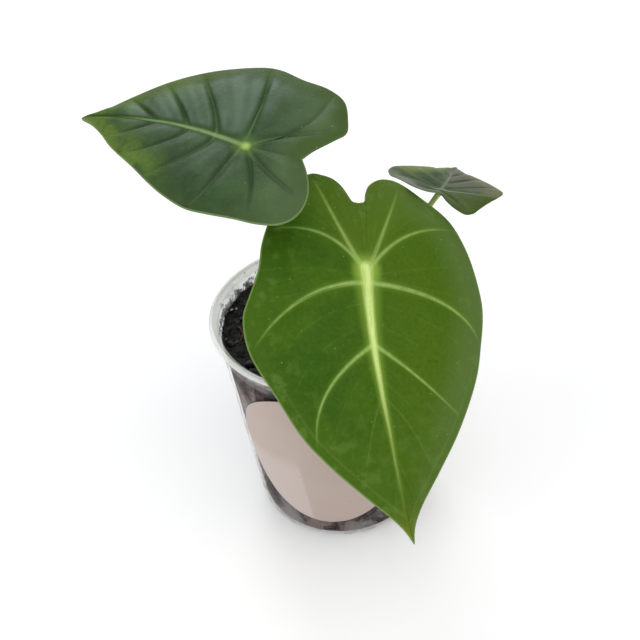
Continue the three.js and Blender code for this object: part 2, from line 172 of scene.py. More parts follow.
BLADE_THICKNESS = 0.36
RIB_UNDER = 0.8        # how far the midrib stands out under the blade
RIB_ABOVE = 0.12       # and above it
RIB_WIDTH = 0.8        # how far from its middle the midrib's swelling reaches
RIB_CLEAR = 1.1        # how near to the midrib the other veins stop
VEIN_UNDER = 0.35      # how far the other main veins stand out under the blade
VEIN_WIDTH = 0.5       # how far from its middle a vein's groove reaches
RIM_FROM = 0.75        # share of the way to the margin at which the rim starts to turn down
TIP_FROM = 0.88        # share of the length at which the tip starts to curl up
FINE_QUILT = 0.08      # rise between fine veins, as a share of that between main veins
QUILT_SPAN = 5         # vein spacing at which the quilting reaches half its rise
MARGIN_ROWS = 190      # rows from the notch to the tip
MINOR_VEINS = 3        # fine veins' spaces between two main veins
COLUMNS = 40           # steps from the midrib to the margin
RIB_TAPER = 1.8        # how fast the midrib thins: 1 is evenly
VEIN_FADED = 0.93      # share of its length at which a main vein has faded out
VEIN_FADE = 0.35       # and over how much of it the vein fades
EVEN_BOW = (0.5, 0.5)  # the bow of a straight vein
SIDES = ("right", "left")
RIM_TURN = np.radians([45, 0, -45])
DRAWING_SIZE = 100     # the flat drawing's square, which the texture coordinates span
FAR_ENOUGH = 50        # materials read no distance past this one
FAR = 1000             # a distance that is more than any on a blade

# The middle line of each stalk, from the crown to the blade, and its radius at both ends.
STALKS = {
    "large": {"foot": 1.7, "neck": 0.9, "route": [(1.3, -2.6), (2.2, -6, 66), (4.4, -11.6, 76)]},
    "left": {"foot": 1.6, "neck": 0.8, "route": [(-2.8, -0.3), (-5.6, 0.3, 68), (-10.8, 1, 88)]},
    "small": {"foot": 1.3, "neck": 0.65, "route": [(2.3, 1.8), (8, 4.2, 65), (21.6, 7.6, 77.4)]},
}
SHEATH_SHARE = 0.3     # share of a stalk that its sheath thickens
FLARE_FROM = 0.94      # share of its length at which it flares towards its blade
NECK_LENGTH = 1.9      # straight end under the blade
NECK_GAP = 0.35        # from its end to the blade's middle
FOOT_SINK = 0.6        # how far it stands in the crown

# ---------------------------------------------------------------- camera, floor and light

FRAME_PIXELS = 640
FOCAL_PIXELS = 1000
SENSOR = 36
CAMERA_DROP = 38       # degrees that the camera looks down
CAMERA_ROLL = 4.5      # degrees that it leans to its right
RIM_DEPTH = 244        # from the camera to the middle of the pot's rim, along the view
RIM_PIXEL = (331, 308)


def place_camera():
    drop = math.radians(CAMERA_DROP)
    roll = math.radians(CAMERA_ROLL)
    ahead = Vector((0, math.cos(drop), -math.sin(drop)))
    level = Vector((1, 0, 0))
    upward = Vector((0, math.sin(drop), math.cos(drop)))
    right = level * math.cos(roll) - upward * math.sin(roll)
    up = upward * math.cos(roll) + level * math.sin(roll)
    middle = FRAME_PIXELS / 2
    aside = (RIM_PIXEL[0] - middle) / FOCAL_PIXELS * RIM_DEPTH
    above = (middle - RIM_PIXEL[1]) / FOCAL_PIXELS * RIM_DEPTH
    eye = Vector((0, 0, POT_HEIGHT)) - ahead * RIM_DEPTH - right * aside - up * above
    data = bpy.data.cameras.new("camera")
    data.sensor_width = SENSOR
    data.lens = FOCAL_PIXELS / FRAME_PIXELS * SENSOR
    data.clip_start = 0.01
    camera = bpy.data.objects.new("camera", data)
    scene.collection.objects.link(camera)
    turn = Matrix((right, up, -ahead)).transposed().to_4x4()
    camera.matrix_world = Matrix.Translation(eye * MM) @ turn
    scene.camera = camera


def area_light(name, place, aim, size, watts, colour):
    data = bpy.data.lights.new(name, "AREA")
    data.shape = "DISK"
    data.size = size
    data.energy = watts
    data.color = colour
    light = bpy.data.objects.new(name, data)
    scene.collection.objects.link(light)
    light.location = place
    light.rotation_euler = (Vector(aim) - Vector(place)).to_track_quat("-Z", "Y").to_euler()


def light_studio():
    world = bpy.data.worlds.new("soft_room")
    world.use_nodes = True
    background = world.node_tree.nodes["Background"]
    background.inputs["Color"].default_value = (0.95, 0.97, 1, 1)
    background.inputs["Strength"].default_value = 0.46
    scene.world = world
    target = (0, 0, 0.08)
    area_light("key", (0.3, -0.45, 0.85), target, 1.0, 4, (1, 0.98, 0.95))
    area_light("fill", (-0.6, -0.3, 0.6), target, 0.7, 1.7, (0.96, 0.98, 1))
    area_light("back", (-0.1, 0.7, 0.6), target, 0.5, 2, (1, 1, 1))
    scene.view_settings.view_transform = "Standard"


def lay_floor():
    bpy.ops.mesh.primitive_plane_add(size=6, location=(0, 0, -0.05 * MM))
    floor = bpy.context.object
    floor.name = "floor"
    shade = Shade("floor_white")
    white = shade.place.noise(30, 3).ramp(0.93, 0.96)
    floor.data.materials.append(shade.finish(white, 0.7, Emission_Color=(1, 1, 1), Emission_Strength=0.2))


# ---------------------------------------------------------------- materials' building blocks

GAMMA = 2.2            # from a screen's colours to the shader's
GRAIN_GLINT = 1.6      # how much brighter than a crumb its brightest grain is


class Shade:
    """A node material: its tree, its shader and each point's place on the piece in millimetres."""

    def __init__(self, name):
        self.material = bpy.data.materials.new(name)
        self.material.use_nodes = True
        self.tree = self.material.node_tree
        self.shader = self.tree.nodes["Principled BSDF"]
        where = self.node("TexCoord", {}, "Object")
        self.place = self.node("Mapping", {"Vector": where, "Scale": (1000, 1000, 1000)})

    def node(self, kind, inputs, output=0, **settings):
        made = self.tree.nodes.new("ShaderNode" + kind)
        for setting, value in settings.items():
            setattr(made, setting, value)
        for socket, value in inputs.items():
            self.put(made.inputs[socket], value)
        return Field(self, made.outputs[output])

    def put(self, socket, value):
        if isinstance(value, Field):
            self.tree.links.new(value.socket, socket)
        elif socket.type == "RGBA":
            socket.default_value = (*value[:3], 1)
        else:
            socket.default_value = value

    def facts(self, *names):
        """What store_facts kept on a blade under these names."""
        return [self.node("Attribute", {}, "Fac", attribute_name="leaf_" + name) for name in names]

    def finish(self, colour, roughness, relief=(), alpha=None, **uniform):
        """Fills in the shader; relief is layers of bump, each a height and its depth in millimetres."""
        normal = None
        for height, depth in relief:
            inputs = {"Height": height, "Strength": 1.0, "Distance": depth * MM}
            if normal:
                inputs["Normal"] = normal
            normal = self.node("Bump", inputs)
        sockets = {"Base Color": colour, "Roughness": roughness, "Normal": normal, "Alpha": alpha}
        for socket, value in {**sockets, **uniform}.items():
            if value is not None:
                self.put(self.shader.inputs[socket.replace("_", " ")], value)
        return self.material


class Field:
    """What a node gives: a number, colour or place over the surface. Numbers take * + and -."""

    def __init__(self, shade, socket):
        self.shade = shade
        self.socket = socket

    def math(self, operation, *others):
        return self.shade.node("Math", dict(enumerate([self, *others])), operation=operation)

    def __mul__(self, other):
        return self.math("MULTIPLY", other)

    def __add__(self, other):
        return self.math("ADD", other)

    def __sub__(self, other):
        return self.math("SUBTRACT", other)

    def __rsub__(self, other):
        return self.shade.node("Math", {0: other, 1: self}, operation="SUBTRACT")

    def between(self, low, high):
        """0 where this is at low, 1 where it is at high, eased in between; low may be the larger."""
        inputs = {"Value": self, "From Min": low, "From Max": high}
        return self.shade.node("MapRange", inputs, interpolation_type="SMOOTHSTEP")

    def ramp(self, low, high):
        """Low where this is 0 and high where it is 1."""
        return self.shade.node("MapRange", {"Value": self, "To Min": low, "To Max": high})

    def blend(self, first, second):
        """The first colour where this is 0 and the second where it is 1."""
        inputs = {0: self, 6: linear(first), 7: linear(second)}
        return self.shade.node("Mix", inputs, 2, data_type="RGBA")

    def paint(self, *layers):
        """This colour under thin coats: where each one is, its colour and how much it covers."""
        colour = self
        for where, towards, amount in layers:
            colour = (where * amount).blend(colour, towards)
        return colour

    def axis(self, name):
        return self.shade.node("SeparateXYZ", {0: self}, name)

    def away_from(self, spot):
        return self.shade.node("VectorMath", {0: self, 1: spot}, "Value", operation="DISTANCE")

    def stretched(self, scale, turn=(0, 0, 0)):
        return self.shade.node("Mapping", {"Vector": self, "Scale": scale, "Rotation": turn})

    def noise(self, scale, detail=2, rough=0.5, twist=0.0):
        inputs = {"Vector": self, "Scale": scale, "Detail": detail, "Roughness": rough, "Distortion": twist}
        return self.shade.node("TexNoise", inputs)

    def cells(self, scale, feature="F1", output="Distance"):
        return self.shade.node("TexVoronoi", {"Vector": self, "Scale": scale}, output, feature=feature)


def linear(colour):
    """The shader's values for a colour that is given from 0 to 255, as a screen shows it."""
    if isinstance(colour, Field):
        return colour
    return tuple((part / 255) ** GAMMA for part in colour)


# ---------------------------------------------------------------- modelling's building blocks


def start_piece(name):
    piece = bpy.context.object
    piece.name = name
    piece.data.name = name
    return piece


def pick(*pieces):
    """Selects these pieces and nothing else, and makes the first one active."""
    if bpy.context.object and bpy.context.object.mode != "OBJECT":
        bpy.ops.object.mode_set(mode="OBJECT")
    bpy.ops.object.select_all(action="DESELECT")
    for piece in pieces:
        piece.select_set(True)
    if pieces:
        bpy.context.view_layer.objects.active = pieces[0]


@contextmanager
def editing(piece, action="SELECT"):
    """Edit mode on one piece, which starts with all of its mesh selected, or with none of it."""
    pick(piece)
    bpy.ops.object.mode_set(mode="EDIT")
    bpy.ops.mesh.select_all(action=action)
    yield
    bpy.ops.object.mode_set(mode="OBJECT")


def settle(piece, node, material=None, angle=40):
    """Smooths, paints and files a finished piece."""
    pick(piece)
    if material:
        piece.data.materials.append(material)
    bpy.ops.object.shade_smooth_by_angle(angle=math.radians(angle))
    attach(piece, "root")
    if node:
        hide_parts(node)
    piece.select_set(False)


def weld(piece, gap=0.004):
    with editing(piece):
        bpy.ops.mesh.remove_doubles(threshold=gap * MM)
        bpy.ops.mesh.normals_make_consistent(inside=False)


def close_holes(piece):
    with editing(piece):
        bpy.ops.mesh.fill_holes(sides=0)


def cap_ends(piece):
    """Puts faces on the open rings at the ends of a turned profile."""
    with editing(piece, "DESELECT"):
        bpy.ops.mesh.select_non_manifold()
        bpy.ops.mesh.edge_face_add()


def grid_sheet(name, points):
    """A grid primitive whose vertices are moved to points, an array of rows, columns and x, y, z."""
    rows, columns = points.shape[:2]
    pick()
    bpy.ops.mesh.primitive_grid_add(x_subdivisions=columns - 1, y_subdivisions=rows - 1, size=1)
    sheet = start_piece(name)
    sheet.data.vertices.foreach_set("co", (points.reshape(-1) * MM).astype(np.float32))
    return sheet


def join(name, pieces):
    pick(*pieces)
    bpy.ops.object.join()
    return start_piece(name)


def apply_modifiers(piece):
    pick(piece)
    for modifier in list(piece.modifiers):
        bpy.ops.object.modifier_apply(modifier=modifier.name)


def turned(name, profile, sides):
    """A ring of edges that is extruded and resized from one point of the profile to the next."""
    pick()
    radius, height = profile[0]
    bpy.ops.mesh.primitive_circle_add(vertices=sides, radius=radius * MM, location=(0, 0, height * MM))
    piece = start_piece(name)
    bpy.ops.object.transform_apply(location=True, rotation=True, scale=True)
    with editing(piece):
        for next_radius, next_height in profile[1:]:
            rise = (0, 0, (next_height - height) * MM)
            bpy.ops.mesh.extrude_region_move(TRANSFORM_OT_translate={"value": rise})
            grow = next_radius / radius
            bpy.ops.transform.resize(value=(grow, grow, 1), center_override=(0, 0, next_height * MM))
            radius, height = next_radius, next_height
    return piece


def smooth_line(points, steps=400):
    """Points on a smooth curve through the given ones, whose spacing follows the points' own."""
    knots = np.array(points, float)
    knots = np.vstack([2 * knots[0] - knots[1], knots, 2 * knots[-1] - knots[-2]])
    spans = np.maximum(np.linalg.norm(np.diff(knots, axis=0), axis=1), 1e-9) ** 0.5
    line = []
    for place in np.linspace(0, len(points) - 1, steps + 1):
        i = min(int(place), len(points) - 2)
        t = place - i
        a, b, c, d = knots[i:i + 4]
        before, own, after = spans[i:i + 3]
        leave = own * ((b - a) / before - (c - a) / (before + own) + (c - b) / own)
        arrive = own * ((c - b) / own - (d - b) / (own + after) + (d - c) / after)
        line.append(
            b + leave * t + (3 * (c - b) - 2 * leave - arrive) * t * t
            + (2 * (b - c) + leave + arrive) * t ** 3
        )
    return np.array(line)


def at_shares(line, shares):
    """Places on a line of points at fractions of its length."""
    walked = np.concatenate([[0], np.cumsum(np.linalg.norm(np.diff(line, axis=0), axis=1))])
    return np.stack([np.interp(np.asarray(shares) * walked[-1], walked, axis) for axis in line.T], -1)


def distance_to_line(places, line):
    """Shortest distance from each place to a line of points, and where along the line it is."""
    starts, steps = line[:-1], np.diff(line, axis=0)
    lengths = np.maximum((steps ** 2).sum(1), 1e-12)
    offsets = places[:, None, :] - starts[None]
    shares = np.clip((offsets * steps).sum(2) / lengths, 0, 1)
    gaps = np.linalg.norm(offsets - shares[..., None] * steps, axis=2)
    nearest = gaps.argmin(1)
    index = np.arange(len(places))
    return gaps[index, nearest], (nearest + shares[index, nearest]) / len(steps)


# ---------------------------------------------------------------- blades


def leaf_axes(leaf):
    """The blade's own axes: across to its right, along to its tip, and up from its upper face."""
    turn, rise, lean = (math.radians(leaf[key]) for key in ("heading", "pitch", "bank"))
    along = Vector((math.cos(rise) * math.cos(turn), math.cos(rise) * math.sin(turn), math.sin(rise)))
    level = Vector((-math.sin(rise) * math.cos(turn), -math.sin(rise) * math.sin(turn), math.cos(rise)))
    side = level.cross(along)
    up = level * math.cos(lean) + side * math.sin(lean)
    return up.cross(along), along, up


def place_on_leaf(leaf, flat, height):
    """Bends the flat drawing along its length and puts it in its place."""
    across, along, up = (np.array(axis) for axis in leaf_axes(leaf))
    length = leaf["stations"][-1]
    curve = math.radians(leaf["arch"]) / length
    reach = np.sin(curve * flat[..., 1]) * (1 / curve + height)
    rise = np.cos(curve * flat[..., 1]) * (1 / curve + height) - 1 / curve
    return (
        np.array(leaf["hub"]) + reach[..., None] * along + flat[..., :1] * across + rise[..., None] * up
    )


def midrib_places(leaf, s):
    share = s / leaf["stations"][-1]
    width, half_waves = leaf["sway"]
    return np.stack([leaf["sweep"] * share ** 5 - width * np.sin(math.pi * half_waves * share), s], -1)


def midrib_line(leaf):
    return midrib_places(leaf, np.linspace(0, leaf["stations"][-1], 61))


def row_curves(leaf, veins, margin, v):
    """Curves from the midrib to the margin, one for each vein or row between: rows, columns, w, s."""
    edge = at_shares(margin, veins[:, 1])
    start = midrib_places(leaf, veins[:, 0])
    bow = start + (edge[:, :2] - start) * veins[:, 2:4]
    v = v[None, :, None]
    curves = (
        (1 - v) ** 2 * start[:, None] + 2 * v * (1 - v) * bow[:, None] + v ** 2 * edge[:, None, :2]
    )
    return curves, edge[:, 2]


def main_veins(leaf, side):
    """Where each main vein leaves the midrib, where on the margin it ends, and how it bows."""
    veins = [(0, *EVEN_BOW), *leaf[side]["veins"], (1, *EVEN_BOW)]
    return np.array([(station, *vein) for station, vein in zip(leaf["stations"], veins)])


def steps_between(leaf, gap):
    """Rows from one main vein to the next, the same on both sides so that they meet at the midrib."""
    width = sum(np.diff(main_veins(leaf, side)[:, 1])[gap] for side in SIDES)
    return 2 * MINOR_VEINS * max(1, round(width * MARGIN_ROWS / (4 * MINOR_VEINS)))


def rows_and_gaps(leaf, mains):
    """Rows from the notch to the tip, each one's share of the way between veins, and which gap it is in."""
    rows, share, gap_of = [mains[0]], [0], [0]
    for gap in range(len(mains) - 1):
        count = steps_between(leaf, gap)
        for k in range(1, count + 1):
            rows.append(mains[gap] + (mains[gap + 1] - mains[gap]) * k / count)
            share.append(k / count)
            gap_of.append(gap)
    return np.array(rows), np.array(share), np.array(gap_of)


def nearest_veins(leaf, places, lines):
    """For each place: the nearest main vein's distance in its half widths, its paleness, its distance."""
    ratio = np.full(len(places), FAR)
    tone = np.zeros(len(places))
    vein_gap = np.full(len(places), FAR)
    for (half_width, paleness), line in zip(leaf["lines"], lines[1:-1]):
        away, along_it = distance_to_line(places, line)
        own_ratio = away / (half_width * (0.4 + 0.6 * (1 - along_it) ** 2))
        fading = np.clip((VEIN_FADED - along_it) / VEIN_FADE, 0, 1)
        tone = np.where(own_ratio < ratio, paleness * (1 - 0.45 * along_it) * fading, tone)
        ratio = np.minimum(ratio, own_ratio)
        vein_gap = np.minimum(vein_gap, away)
    return ratio, tone, vein_gap


def blade_half(leaf, side):
    """Everything that the upper and lower faces of half a blade need, on one grid of rows and columns."""
    points = [leaf["notch"], *leaf[side]["margin"], (leaf["sweep"], leaf["stations"][-1])]
    margin = smooth_line([(*point, 0)[:3] for point in points])
    mains = main_veins(leaf, side)
    steps = np.linspace(0, 1, COLUMNS + 1)
    v = 0.5 * steps + 0.5 * (0.5 - 0.5 * np.cos(math.pi * steps))
    rows, share, gap_of = rows_and_gaps(leaf, mains)
    flat, lift = row_curves(leaf, rows, margin, v)
    lines, _ = row_curves(leaf, mains, margin, v)
    spread = np.linalg.norm(lines[gap_of] - lines[gap_of + 1], axis=2)
    places = flat.reshape(-1, 2)
    rib_gap, rib_share = distance_to_line(places, midrib_line(leaf))
    wide, slim = leaf["midrib"]
    facts = dict(zip(("vein", "tone", "vein_gap"), nearest_veins(leaf, places, lines)))
    facts["rib_gap"], facts["rib_share"] = rib_gap, rib_share
    facts["rib"] = rib_gap / (slim + (wide - slim) * (1 - rib_share) ** RIB_TAPER)
    facts["edge"], _ = distance_to_line(places, margin[:, :2])
    facts = {key: values.reshape(spread.shape) for key, values in facts.items()}
    for key, values in (("v", v), ("share", share[:, None]), ("round", rows[:, 1:2])):
        facts[key] = np.broadcast_to(values, spread.shape)
    facts["flat"], facts["spread"] = flat, spread
    facts["side"] = np.full(spread.shape, float(side == "right"))
    facts["lift"] = lift[:, None] * facts["v"] ** 2
    between_fine = facts["share"] * MINOR_VEINS
    facts["minor"] = np.abs(between_fine - np.round(between_fine)) / MINOR_VEINS * spread
    return facts


def blade_faces(leaf, facts):
    """Heights of the upper and the lower face above the flat drawing."""
    w, v = facts["flat"][..., 0], facts["v"]
    middle = leaf["fold"] * (np.hypot(w, 2) - 2) + leaf["cup"] * w * w + facts["lift"]
    middle = middle - leaf["roll"] * np.maximum(0, (v - RIM_FROM) / (1 - RIM_FROM)) ** 2
    along = facts["flat"][..., 1] / leaf["stations"][-1]
    middle = middle + leaf["curl"] * np.clip((along - TIP_FROM) / (1 - TIP_FROM), 0, 1) ** 2
    room = facts["spread"] / (facts["spread"] + QUILT_SPAN)
    arch = np.sin(math.pi * facts["share"]) ** 0.75 * np.sin(math.pi * v) ** 0.9
    fine = np.sin(math.pi * facts["share"] * MINOR_VEINS) ** 2 * np.sin(math.pi * v) ** 0.8
    middle = middle + room * leaf["quilt"] * (arch + FINE_QUILT * fine)
    vein = np.exp(-((facts["vein_gap"] / VEIN_WIDTH) ** 2)) * (1 - v) ** 0.5
    vein = vein * (1 - np.exp(-((facts["rib_gap"] / RIB_CLEAR) ** 4)))
    rib = np.exp(-((facts["rib_gap"] / RIB_WIDTH) ** 2)) * (1 - facts["rib_share"]) ** 0.6
    upper = middle + BLADE_THICKNESS / 2 - leaf["groove"] * vein + RIB_ABOVE * rib
    under = np.maximum(RIB_UNDER * rib, VEIN_UNDER * vein)
    lower = middle - BLADE_THICKNESS / 2 - under
    return middle, upper, lower


def over_and_under(upper, rim, lower):
    """Rows that run out over the upper face, round the rim and back under the lower face."""
    return np.concatenate([upper, rim, lower[:, ::-1]], 1)


def blade_piece(name, leaf, *materials):
    """Two halves, each one sheet folded round its rim, welded together under the midrib."""
    halves = []
    for side in SIDES:
        facts = blade_half(leaf, side)
        middle, upper, lower = blade_faces(leaf, facts)
        flat = facts["flat"]
        outward = flat[:, -1] - flat[:, -2]
        outward = outward / np.maximum(np.linalg.norm(outward, axis=1, keepdims=True), 1e-9)
        outward[-1] = 0
        rim_flat = flat[:, -1:] + outward[:, None] * (BLADE_THICKNESS / 2 * np.cos(RIM_TURN))[:, None]
        rim_height = middle[:, -1:] + BLADE_THICKNESS / 2 * np.sin(RIM_TURN)
        full_flat = over_and_under(flat, rim_flat, flat)
        full_height = over_and_under(upper, rim_height, lower)
        sheet = grid_sheet(f"{name}_{side}", place_on_leaf(leaf, full_flat, full_height))
        for material in materials:
            sheet.data.materials.append(material)
        store_facts(sheet, facts, full_flat)
        halves.append(sheet)
    blade = join(f"leaf_{name}", halves)
    weld(blade)
    settle(blade, name, angle=60)


def store_facts(sheet, facts, full_flat):
    """Keeps on the sheet what its material reads: how far each point is from ribs, veins and margin."""
    mesh = sheet.data
    for key in ("rib", "rib_share", "vein", "tone", "minor", "edge", "v", "round", "side"):
        rim = np.repeat(facts[key][:, -1:], len(RIM_TURN), 1)
        values = np.minimum(over_and_under(facts[key], rim, facts[key]), FAR_ENOUGH)
        layer = mesh.attributes.new("leaf_" + key, "FLOAT", "POINT")
        layer.data.foreach_set("value", values.astype(np.float32).reshape(-1))
    loops = np.empty(len(mesh.loops), np.int32)
    mesh.loops.foreach_get("vertex_index", loops)
    layer = mesh.uv_layers[0]
    layer.name = "flat"
    flat = full_flat.reshape(-1, 2)[loops] / DRAWING_SIZE + 0.5
    layer.uv.foreach_set("vector", flat.astype(np.float32).reshape(-1))
    rows, columns = full_flat.shape[:2]
    below = np.tile(np.arange(columns - 1) >= COLUMNS + len(RIM_TURN), rows - 1)
    mesh.polygons.foreach_set("material_index", below.astype(np.int32))


def flat_place(shade):
    """The blade's flat drawing in millimetres, as texture coordinates."""
    drawing = shade.node("UVMap", {}, uv_map="flat")
    inputs = {"Vector": drawing, "Location": [-DRAWING_SIZE / 2] * 2 + [0], "Scale": [DRAWING_SIZE] * 3}
    return shade.node("Mapping", inputs)


def vein_masks(shade):
    """Strength of the midrib, of the main veins and of the fine ones, with their soft halos."""
    rib, vein, tone, minor = shade.facts("rib", "vein", "tone", "minor")
    core, halo = rib.between(1.35, 0.2), rib.between(3, 0.85)
    lines, haze = vein.between(1.8, 0) * tone, vein.between(4.5, 0.3) * tone
    return core, halo, lines, haze, minor.between(0.32, 0.05)


def rib_streaks(shade):
    """Fine streaks that follow the midrib, whichever way it bends."""
    side, rib, along = shade.facts("side", "rib", "rib_share")
    across = rib * (side * 2 - 1) * 2.2
    return shade.node("CombineXYZ", {"X": across, "Y": along * 9}).noise(1, 4, 0.65)


def specks(flat):
    """Sparse specks, a fraction of a millimetre across."""
    return flat.cells(0.45).between(0.09, 0.04) * flat.cells(0.45, output="Color").between(0.46, 0.56)


def mid_green_blade():
    """Upper face of the large blade: mid green, pale yellow-green ribs, a painted grey sheen towards one
    margin.
    """
    shade = Shade("blade_mid_green")
    flat = flat_place(shade)
    across = flat.axis("X")
    core, halo, lines, haze, minor = vein_masks(shade)
    edge, along, around = shade.facts("edge", "rib_share", "round")
    cloud, blotch = flat.noise(0.07, 3, 0.55, 0.5), flat.noise(0.3, 3, 0.6)
    mottle, streaks = flat.noise(1.1, 4, 0.6), rib_streaks(shade)
    # painted highlight: a narrow lighter band inside the curled margin, towards the tip
    margin_highlight = (edge - 1.9).math("ABSOLUTE").between(0.4, 0.05) * around.between(0.5, 0.8)
    uneven = flat.noise(0.5, 4, 0.7).between(0.36, 0.56).ramp(0.72, 1)
    rib_colour = along.between(0.25, 0.7).blend((218, 240, 146), (138, 166, 78))
    rib_colour = rib_colour.paint((streaks.between(0.45, 0.62), (164, 194, 78), 0.5))
    # painted light: the base colour is lighter towards the right half
    colour = across.between(-14, 12).blend((53, 89, 3), (74, 103, 14)).paint(
        (cloud.between(0.42, 0.66), (68, 102, 10), 0.7),
        (blotch.between(0.4, 0.7), (80, 112, 24), 0.3),
        (mottle.between(0.45, 0.75), (88, 122, 38), 0.26),
        (mottle.between(0.46, 0.3), (48, 84, 8), 0.4),
        # basal lobes lighter yellow-green: partly their own colour, partly painted light against the left
        # blade's shadow
        (around.between(0.36, 0.08), (86, 114, 28), 0.7),
        # painted sheen: greyer towards the right margin
        (edge.between(12, 1) * across.between(2, 17), (94, 119, 62), 0.85),
        (edge.between(6, 0.5), (78, 104, 34), 0.35),
        (minor * blotch.between(0.35, 0.6), (110, 145, 60), 0.14),
        (blotch.between(0.54, 0.62) * edge.between(9, 2), (100, 132, 62), 0.3),
        (blotch.between(0.4, 0.8) * along.between(0.45, 0.7), (100, 130, 66), 0.5),
        (along.between(0.4, 0.75), (76, 104, 22), 0.4),
        (along.between(0.84, 1), (116, 124, 30), 0.7),
        # painted highlight along the curled margin
        (margin_highlight, (120, 150, 70), 0.16),
        (haze, (108, 144, 46), 0.36),
        (halo, (126, 160, 54), 0.7 - along * 0.5),
        (flat.away_from((0, 0.8, 0)).between(4.2, 0.8), (160, 192, 80), 0.6),
        (lines * uneven, (164, 194, 104), 1),
        (core, rib_colour, 1 - along.between(0.5, 0.98) * 0.5),
        (edge.between(0.2, 0.08), (124, 150, 84), 0.7),
        (specks(flat), (150, 184, 100), 0.5),
    )
    ridges = [(core.math("MAXIMUM", lines), 0.1), (streaks * core, 0.12)]
    relief = [(flat.cells(1.5, "DISTANCE_TO_EDGE"), 0.04), (mottle, 0.1), *ridges]
    return shade.finish(colour, mottle.ramp(0.46, 0.6), relief, Specular_IOR_Level=0.12)


def blue_green_blade():
    """Upper face of the left blade: dark green velvet, a painted grey sheen on its quilts, an olive band of
    painted light at its rim.
    """
    shade = Shade("blade_blue_green")
    flat = flat_place(shade)
    core, halo, lines, *_ = vein_masks(shade)
    rib, along, vein, minor = shade.facts("rib", "rib_share", "vein", "minor")
    margin, around, v = shade.facts("edge", "round", "v")
    cloud, blotch = flat.noise(0.12, 3, 0.6), flat.noise(0.17, 2, 0.5, 0.3)
    mottle = flat.noise(1.1, 4, 0.6)
    edge = margin + (blotch * 5 - 2.5)
    upper = flat.axis("X").between(2, -4)
    # painted sheen: grey on the quilts of the upper half, fainter on the lower half
    lower = v.between(0.85, 0.25).ramp(0.06, 0.38)
    painted_sheen = vein.between(1.6, 6.5) * rib.between(1.2, 4) * minor.between(0.1, 1.5).ramp(0.7, 1)
    painted_sheen = painted_sheen * upper.ramp(lower, 1) * cloud.between(0.3, 0.6).ramp(0.55, 1)
    painted_sheen = painted_sheen * edge.between(1.6, upper.ramp(9, 5)) * around.between(0.3, 0.42).ramp(0.3, 1)
    lobe = around.between(0.42, 0.2) * cloud.ramp(0.4, 1) * v.between(0.3, 0.7)
    patches = blotch.between(0.24, 0.62) * edge.between(9, 1.5) * around.between(0.56, 0.7)
    patches = patches * upper.ramp(0.6, 0.35) * mottle.between(0.4, 0.6).ramp(0.75, 1)
    rib_colour = along.between(0.3, 0.9).blend((134, 162, 104), (104, 130, 62))
    rib_colour = rib_colour.paint((rib_streaks(shade).between(0.45, 0.65), (96, 128, 66), 0.5))
    from_hub = flat.away_from((0, 0, 0))
    colour = cloud.between(0.3, 0.7).blend((46, 68, 38), (58, 84, 46)).paint(
        (painted_sheen, (94, 114, 95), 1),
        (mottle.between(0.5, 0.8), (98, 120, 90), 0.25),
        (lobe, (92, 115, 74), 0.8),
        # painted light: an olive band where the rim rolls, mostly on the upper half
        (edge.between(4.4, 1) * upper.ramp(0.3, 1), (66, 88, 34), 0.8),
        (patches, (112, 142, 48), 1),
        (along.between(0.78, 1), (96, 122, 42), 0.8),
        # painted shade: darker in the grooves along the veins, mostly on the lower half
        (vein.between(4.5, 0.5) * edge.between(2, 6), (44, 64, 36), upper.ramp(0.65, 0.12)),
        (halo, (66, 92, 46), 0.5),
        (lines, (112, 138, 98), 0.9),
        (core, rib_colour, 0.9),
        (from_hub.between(4, 0.8), (112, 146, 66), 0.4),
        (from_hub.between(1.5, 0.2), (172, 204, 104), 0.8),
        (margin.between(0.2, 0.08), (130, 150, 96), upper.ramp(0.6, 0.15)),
        (specks(flat), (130, 152, 118), 0.5),
    )
    relief = [(flat.cells(1.6, "DISTANCE_TO_EDGE"), 0.05), (mottle, 0.12)]
    return shade.finish(colour, mottle.ramp(0.42, 0.56), relief, Specular_IOR_Level=0.2)


def olive_blade():
    """Upper face of the small blade: olive under a painted grey sheen with a purple tinge, green inside and
    at one lobe.
    """
    shade = Shade("blade_olive_green")
    flat = flat_place(shade)
    core, _, lines, haze, _ = vein_masks(shade)
    around, vein, margin = shade.facts("round", "vein", "edge")
    cloud, mottle = flat.noise(0.16, 3, 0.6), flat.noise(1.3, 4, 0.6)
    edge = margin + (cloud * 4 - 2)
    right = flat.axis("X").between(-1, 1)
    left = 1 - right
    lobe = around.between(0.44, 0.38)
    # painted sheen: grey over the left side but for its lobe, and in a band near the right side's margin
    sheen_side = left * (1 - lobe)
    near, far = right * around.between(0.52, 0.42), right * around.between(0.48, 0.6)
    colour = cloud.between(0.35, 0.65).blend((44, 70, 30), (70, 90, 54)).paint(
        (left * lobe, (68, 86, 20), 0.95),
        # painted sheen, grey with a purple tinge
        (sheen_side * vein.between(0.5, 9), (104, 104, 88), 0.8),
        (sheen_side * edge.between(5, 2), (116, 120, 82), 0.7),
        (near * edge.between(4.2, 1.6), (124, 130, 112), 0.75),
        (far * edge.between(7.5, 3), (112, 132, 56), 0.9),
        (mottle.between(0.45, 0.75), (110, 114, 96), 0.2),
        (haze, (118, 130, 106), 0.25),
        (lines, (158, 170, 146), 0.95),
        (core, (134, 150, 122), 0.5),
    )
    relief = [(flat.cells(1.8, "DISTANCE_TO_EDGE"), 0.04), (mottle, 0.12)]
    return shade.finish(colour, mottle.ramp(0.42, 0.55), relief, Specular_IOR_Level=0.18)


